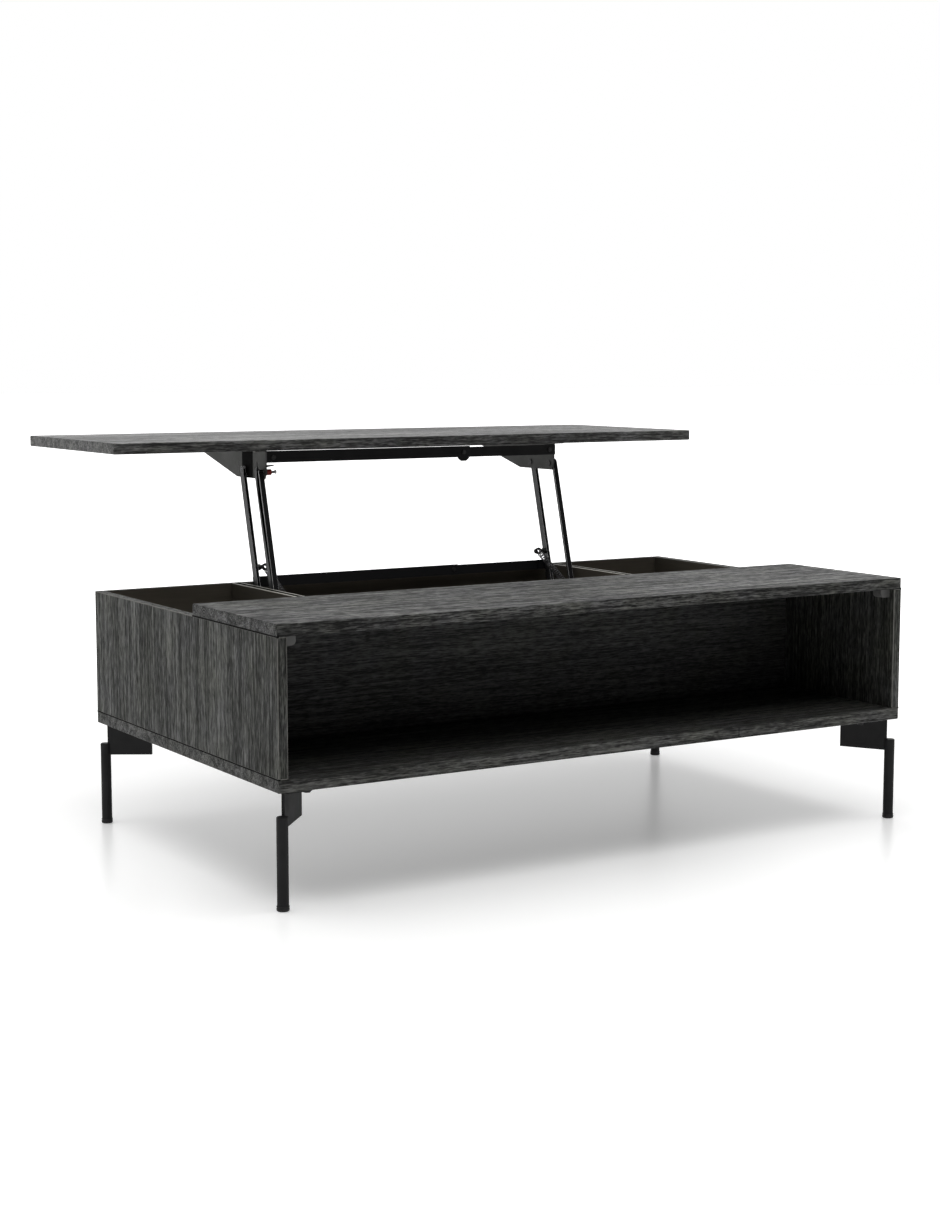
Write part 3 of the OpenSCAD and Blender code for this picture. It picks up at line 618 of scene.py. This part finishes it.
def makeBoard(node, oak, edge, corner, lined):
    lo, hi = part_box(node)
    bm = bmesh.new()
    rim = [bm.verts.new((x, y, lo.z)) for x, y in boardOutline(lo, hi, corner * mm)]
    face = bm.faces.new(rim)
    lifted = bmesh.ops.extrude_face_region(bm, geom=[face])
    moved = [v for v in lifted["geom"] if isinstance(v, bmesh.types.BMVert)]
    bmesh.ops.translate(bm, verts=moved, vec=(0, 0, hi.z - lo.z))
    if lined is sideLining or lined is baseLining:
        everything = bm.verts[:] + bm.edges[:] + bm.faces[:]
        bmesh.ops.bisect_plane(bm, geom=everything, plane_co=(0, wellEdgeY, 0), plane_no=(0, 1, 0))
    bmesh.ops.recalc_face_normals(bm, faces=bm.faces[:])
    mesh = bpy.data.meshes.new(node + "Board")
    bm.to_mesh(mesh)
    bm.free()
    board = addObject(node + "Board", mesh)
    for name in (oak, "wellLining", "edgeHighlightOak", "dividerTopHighlight"):
        mesh.materials.append(materials[name])
    for polygon in mesh.polygons:
        polygon.material_index = 1 if lined(polygon) else 0
        # the dividers' top faces take the painted highlights
        if lined is uprightLining and polygon.normal.z > 0.5:
            polygon.material_index = 3
    # the side and rear panels' eased edges take the painted highlight oak
    easeEdges(board, edge * mm, edgeMaterial=2 if oak == "sideOak" else -1)
    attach(board, bodyOf(node))
    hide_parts(node)


for node, (oak, edge, corner, lined) in boards.items():
    makeBoard(node, oak, edge, corner, lined)
print("boards made:", len(boards))


# painted shadow: black strips in the grooves where boards meet
joint = {"height": 3 * mm, "inset": 0.08 * mm, "depth": 3 * mm}


def makeBox(name, lo, hi, material, body):
    bm = bmesh.new()
    bmesh.ops.create_cube(bm, size=1)
    for v in bm.verts:
        v.co = Vector([a + (c + 0.5) * (b - a) for a, b, c in zip(lo, hi, v.co)])
    mesh = bpy.data.meshes.new(name)
    bm.to_mesh(mesh)
    bm.free()
    mesh.materials.append(materials[material])
    obj = addObject(name, mesh)
    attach(obj, body)


def makeJointShadowLines(j):
    topLo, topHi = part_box("fixed_front_top")
    for sideName, sign in (("left", -1), ("right", 1)):
        lo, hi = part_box(sideName + "_side_panel")
        outer = (hi.x if sign > 0 else lo.x) - sign * j["inset"]
        xs = sorted((outer, outer - sign * j["depth"]))
        for level, z, endY in (("Base", lo.z, hi.y), ("Top", topLo.z, topHi.y)):
            start = (xs[0], lo.y + j["inset"], z - j["height"] / 2)
            end = (xs[1], endY - j["inset"], z + j["height"] / 2)
            makeBox(sideName + level + "Joint", start, end, "jointShadow", "case")


makeJointShadowLines(joint)
print("joint lines made")


# metal and plastic parts
# slot: material, edge radius in mm (the arms take theirs from armEdges)
metalFinish = {
    "black_leg_paint": ("legPaint", 0.7),
    "black_foot_plastic": ("footPlastic", 0.3),
    "black_bolts": ("blackBolts", 0.4),
    "bracket_steel": ("bracketSteel", 0.5),
    "bar_steel": ("barSteel", 0.5),
    "arm_steel": ("armSteel", 0),
    "black_pins": ("blackPins", 0.35),
    "zinc_screws": ("zincScrews", 0.35),
    "bright_steel": ("brightSteel", 0.25),
    "red_bush": ("redBush", 0.35),
    "grey_plastic": ("greyPlastic", 0.8),
}


# bend: radius of the long outer bends, other: the rest as a share of it
armEdges = {"bend": 1.9 * mm, "other": 0.16, "wideFace": 3 * mm, "longEdge": 100 * mm,
            "sharp": math.radians(40)}


# bevel weights: full on the long outer bends, small elsewhere
def pickBends(mesh, e):
    bm = bmesh.new()
    bm.from_mesh(mesh)
    weight = bm.edges.layers.float.new("bevel_weight_edge")
    for edge in bm.edges:
        if len(edge.link_faces) != 2 or edge.calc_face_angle() < e["sharp"]:
            continue
        length = edge.calc_length()
        wide = all(face.calc_area() / length > e["wideFace"] for face in edge.link_faces)
        outer = edge.calc_face_angle_signed() > 0
        edge[weight] = 1.0 if wide and outer and length > e["longEdge"] else e["other"]
    bm.to_mesh(mesh)
    bm.free()


cleanUp = {"join": 0.002 * mm, "flat": math.radians(0.5)}


def softenedCopy(node, material, edge):
    mesh = nodes[node].data.copy()
    bm = bmesh.new()
    bm.from_mesh(mesh)
    bmesh.ops.remove_doubles(bm, verts=bm.verts[:], dist=cleanUp["join"])
    bmesh.ops.dissolve_limit(bm, angle_limit=cleanUp["flat"], verts=bm.verts[:], edges=bm.edges[:])
    bm.to_mesh(mesh)
    bm.free()
    mesh.materials.clear()
    mesh.materials.append(materials[material])
    piece = addObject(node + "Piece", mesh)
    if material == "armSteel":
        mesh.materials.append(materials["armHighlightSteel"])
        mesh.materials.append(materials["armShade"])
        # painted shade: faces square to the front or rear take the dark material
        for polygon in mesh.polygons:    # front and rear faces stay dark
            polygon.material_index = 2 if abs(polygon.normal.y) > 0.8 else 0
        pickBends(mesh, armEdges)
        # painted highlight: the bevels on the long outer bends take the light steel
        easeEdges(piece, armEdges["bend"], 2, picked=True, edgeMaterial=1)
    else:
        easeEdges(piece, edge * mm, 2, 40)
    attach(piece, bodyOf(node))
    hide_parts(node)


softened = 0
for node, slot in slotOf.items():
    if slot in metalFinish:
        softenedCopy(node, *metalFinish[slot])
        softened += 1
print("metal and plastic parts softened:", softened)


spring = {
    "wire": 0.95 * mm,      # radius
    "coil": 5.0 * mm,       # radius to the wire's middle
    "turns": 30,
    "stepsPerTurn": 16,
    "wireSides": 8,
    "closedTurns": 1.5,     # flat turns at each end
    "clear": 10 * mm,       # from each pin to the first turn
    "endPitch": 0.06,       # share of the rise spread over every turn, the flat ones too
    "loop": 4.6 * mm,       # radius of the end loops
    "loopPast": 1.5 * mm,   # how far a loop reaches past its stud's middle
    "loopArc": 300,         # degrees
    "loopSteps": 24,
    "keep": 0.376,          # length left when the top is closed
}


# round wire through a row of points
def tubeAlong(bm, points, radius, sides):
    rings = []
    side = None
    for i, p in enumerate(points):
        ahead = points[min(i + 1, len(points) - 1)]
        behind = points[max(i - 1, 0)]
        along = (ahead - behind).normalized()
        if side is None:
            side = along.orthogonal().normalized()
        side = (side - along * side.dot(along)).normalized()
        other = along.cross(side)
        ring = []
        for k in range(sides):
            turn = 2 * math.pi * k / sides
            ring.append(bm.verts.new(p + radius * (math.cos(turn) * side + math.sin(turn) * other)))
        rings.append(ring)
    for a, b in zip(rings, rings[1:]):
        for k in range(sides):
            bm.faces.new((a[k], a[(k + 1) % sides], b[(k + 1) % sides], b[k]))
    bm.faces.new(rings[0][::-1])
    bm.faces.new(rings[-1])


def meshFrom(bm, name, material):
    bmesh.ops.recalc_face_normals(bm, faces=bm.faces[:])
    mesh = bpy.data.meshes.new(name)
    bm.to_mesh(mesh)
    bm.free()
    for face in mesh.polygons:
        face.use_smooth = True
    mesh.set_sharp_from_angle(angle=math.radians(40))
    mesh.materials.append(materials[material])
    return addObject(name, mesh)


def middle(node):
    lo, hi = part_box(node)
    return (lo + hi) / 2


def makeSpring(sideName, s):
    pin = middle(sideName + "_spring_pin")
    anchor = middle(sideName + "_spring_anchor")
    centre = middle(sideName + "_spring")
    low = Vector((centre.x, anchor.y, anchor.z))
    high = Vector((centre.x, pin.y, pin.z))
    along = (high - low).normalized()
    acrossA = Vector((1, 0, 0))
    acrossB = along.cross(acrossA)
    start = low + along * s["clear"]
    length = (high - low).length - 2 * s["clear"]
    steps = int(s["turns"] * s["stepsPerTurn"])
    flat = s["closedTurns"] / s["turns"]
    points = []
    for i in range(steps + 1):
        t = i / steps
        rise = min(max((t - flat) / (1 - 2 * flat), 0), 1)
        rise = rise * (1 - s["endPitch"]) + s["endPitch"] * t
        turn = 2 * math.pi * s["turns"] * t
        across = math.cos(turn) * acrossA + math.sin(turn) * acrossB
        points.append(start + along * length * rise + s["coil"] * across)
    bm = bmesh.new()
    tubeAlong(bm, points, s["wire"], s["wireSides"])
    coil = meshFrom(bm, sideName + "SpringCoil", "springWire")
    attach(coil, "case")
    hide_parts(sideName + "_spring")
    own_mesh(coil)
    # a loop of wire at each end, hooked on its own stud
    ends = (("Upper", high, -along, "rear_arms"), ("Lower", low, along, "case"))
    for end, place, toward, body in ends:
        bm = bmesh.new()
        around = toward.cross(acrossA)
        centre = place + toward * (s["loop"] - s["loopPast"])
        loop = []
        for i in range(s["loopSteps"] + 1):
            turn = math.radians(s["loopArc"] * (i / s["loopSteps"] - 0.5))
            loop.append(centre + s["loop"] * (math.cos(turn) * toward + math.sin(turn) * around))
        tubeAlong(bm, loop, s["wire"], s["wireSides"])
        hook = meshFrom(bm, sideName + "Spring" + end + "Loop", "springWire")
        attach(hook, body)


for sideName in ("left", "right"):
    makeSpring(sideName, spring)
print("springs made")


# small details of the lift mechanism
pivotCover = {"y": (0.186, 0.228), "z": (0.589, 0.6375), "thick": 0.45 * mm, "near": 12 * mm}


# thin black cover on the outer face of the left upper bracket
def makePivotCover(c):
    pivot = middle("left_rear_top_pin")
    bracket = nodes["left_upper_bracket"].data.vertices
    plateX = min(v.co.x for v in bracket if abs(v.co.z - pivot.z) < c["near"])
    lo = (plateX - c["thick"], c["y"][0], c["z"][0])
    hi = (plateX, c["y"][1], c["z"][1])
    makeBox("leftPivotCover", lo, hi, "jointShadow", "lift_top")


# round rod from one point to another, with a radius at each
def makeRod(name, root, tip, radii, segments, material, body):
    bm = bmesh.new()
    bmesh.ops.create_cone(bm, cap_ends=True, segments=segments, radius1=radii[0], radius2=radii[1],
                          depth=(tip - root).length)
    turn = (tip - root).to_track_quat("Z", "Y").to_matrix().to_4x4()
    bmesh.ops.transform(bm, matrix=turn, verts=bm.verts[:])
    bmesh.ops.translate(bm, vec=(tip + root) / 2, verts=bm.verts[:])
    obj = meshFrom(bm, name, material)
    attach(obj, body)


# root and tip: x from the nut's inner face, height above the bolt's axis
spur = {"root": (-5 * mm, 10 * mm), "tip": (16 * mm, 12 * mm), "radii": (2.6 * mm, 0.9 * mm),
        "segments": 16}


# black spur beside the left front pivot
def makeSpur(s):
    nut = middle("pivot_nut")
    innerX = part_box("pivot_nut")[1].x
    root, tip = (Vector((innerX + x, nut.y, nut.z + z)) for x, z in (s["root"], s["tip"]))
    makeRod("pivotSpur", root, tip, s["radii"], s["segments"], "blackPins", "lift_top")


rivet = {"radius": 2.9 * mm, "place": (0.314, 0.14325, 0.57218), "length": 2.2 * mm,
         "segments": 24}


# dark rivet in the hole near the top of each front arm
def makeRivet(sideName, sign, r):
    x, y, z = r["place"]
    half = Vector((r["length"] / 2, 0, 0))
    centre = Vector((sign * x, y, z))
    makeRod(sideName + "ArmRivet", centre - half, centre + half, (r["radius"],) * 2,
            r["segments"], "armShade", sideName + "_front_arm")


makePivotCover(pivotCover)
makeSpur(spur)
makeRivet("left", -1, rivet)
makeRivet("right", 1, rivet)
print("mechanism details made")
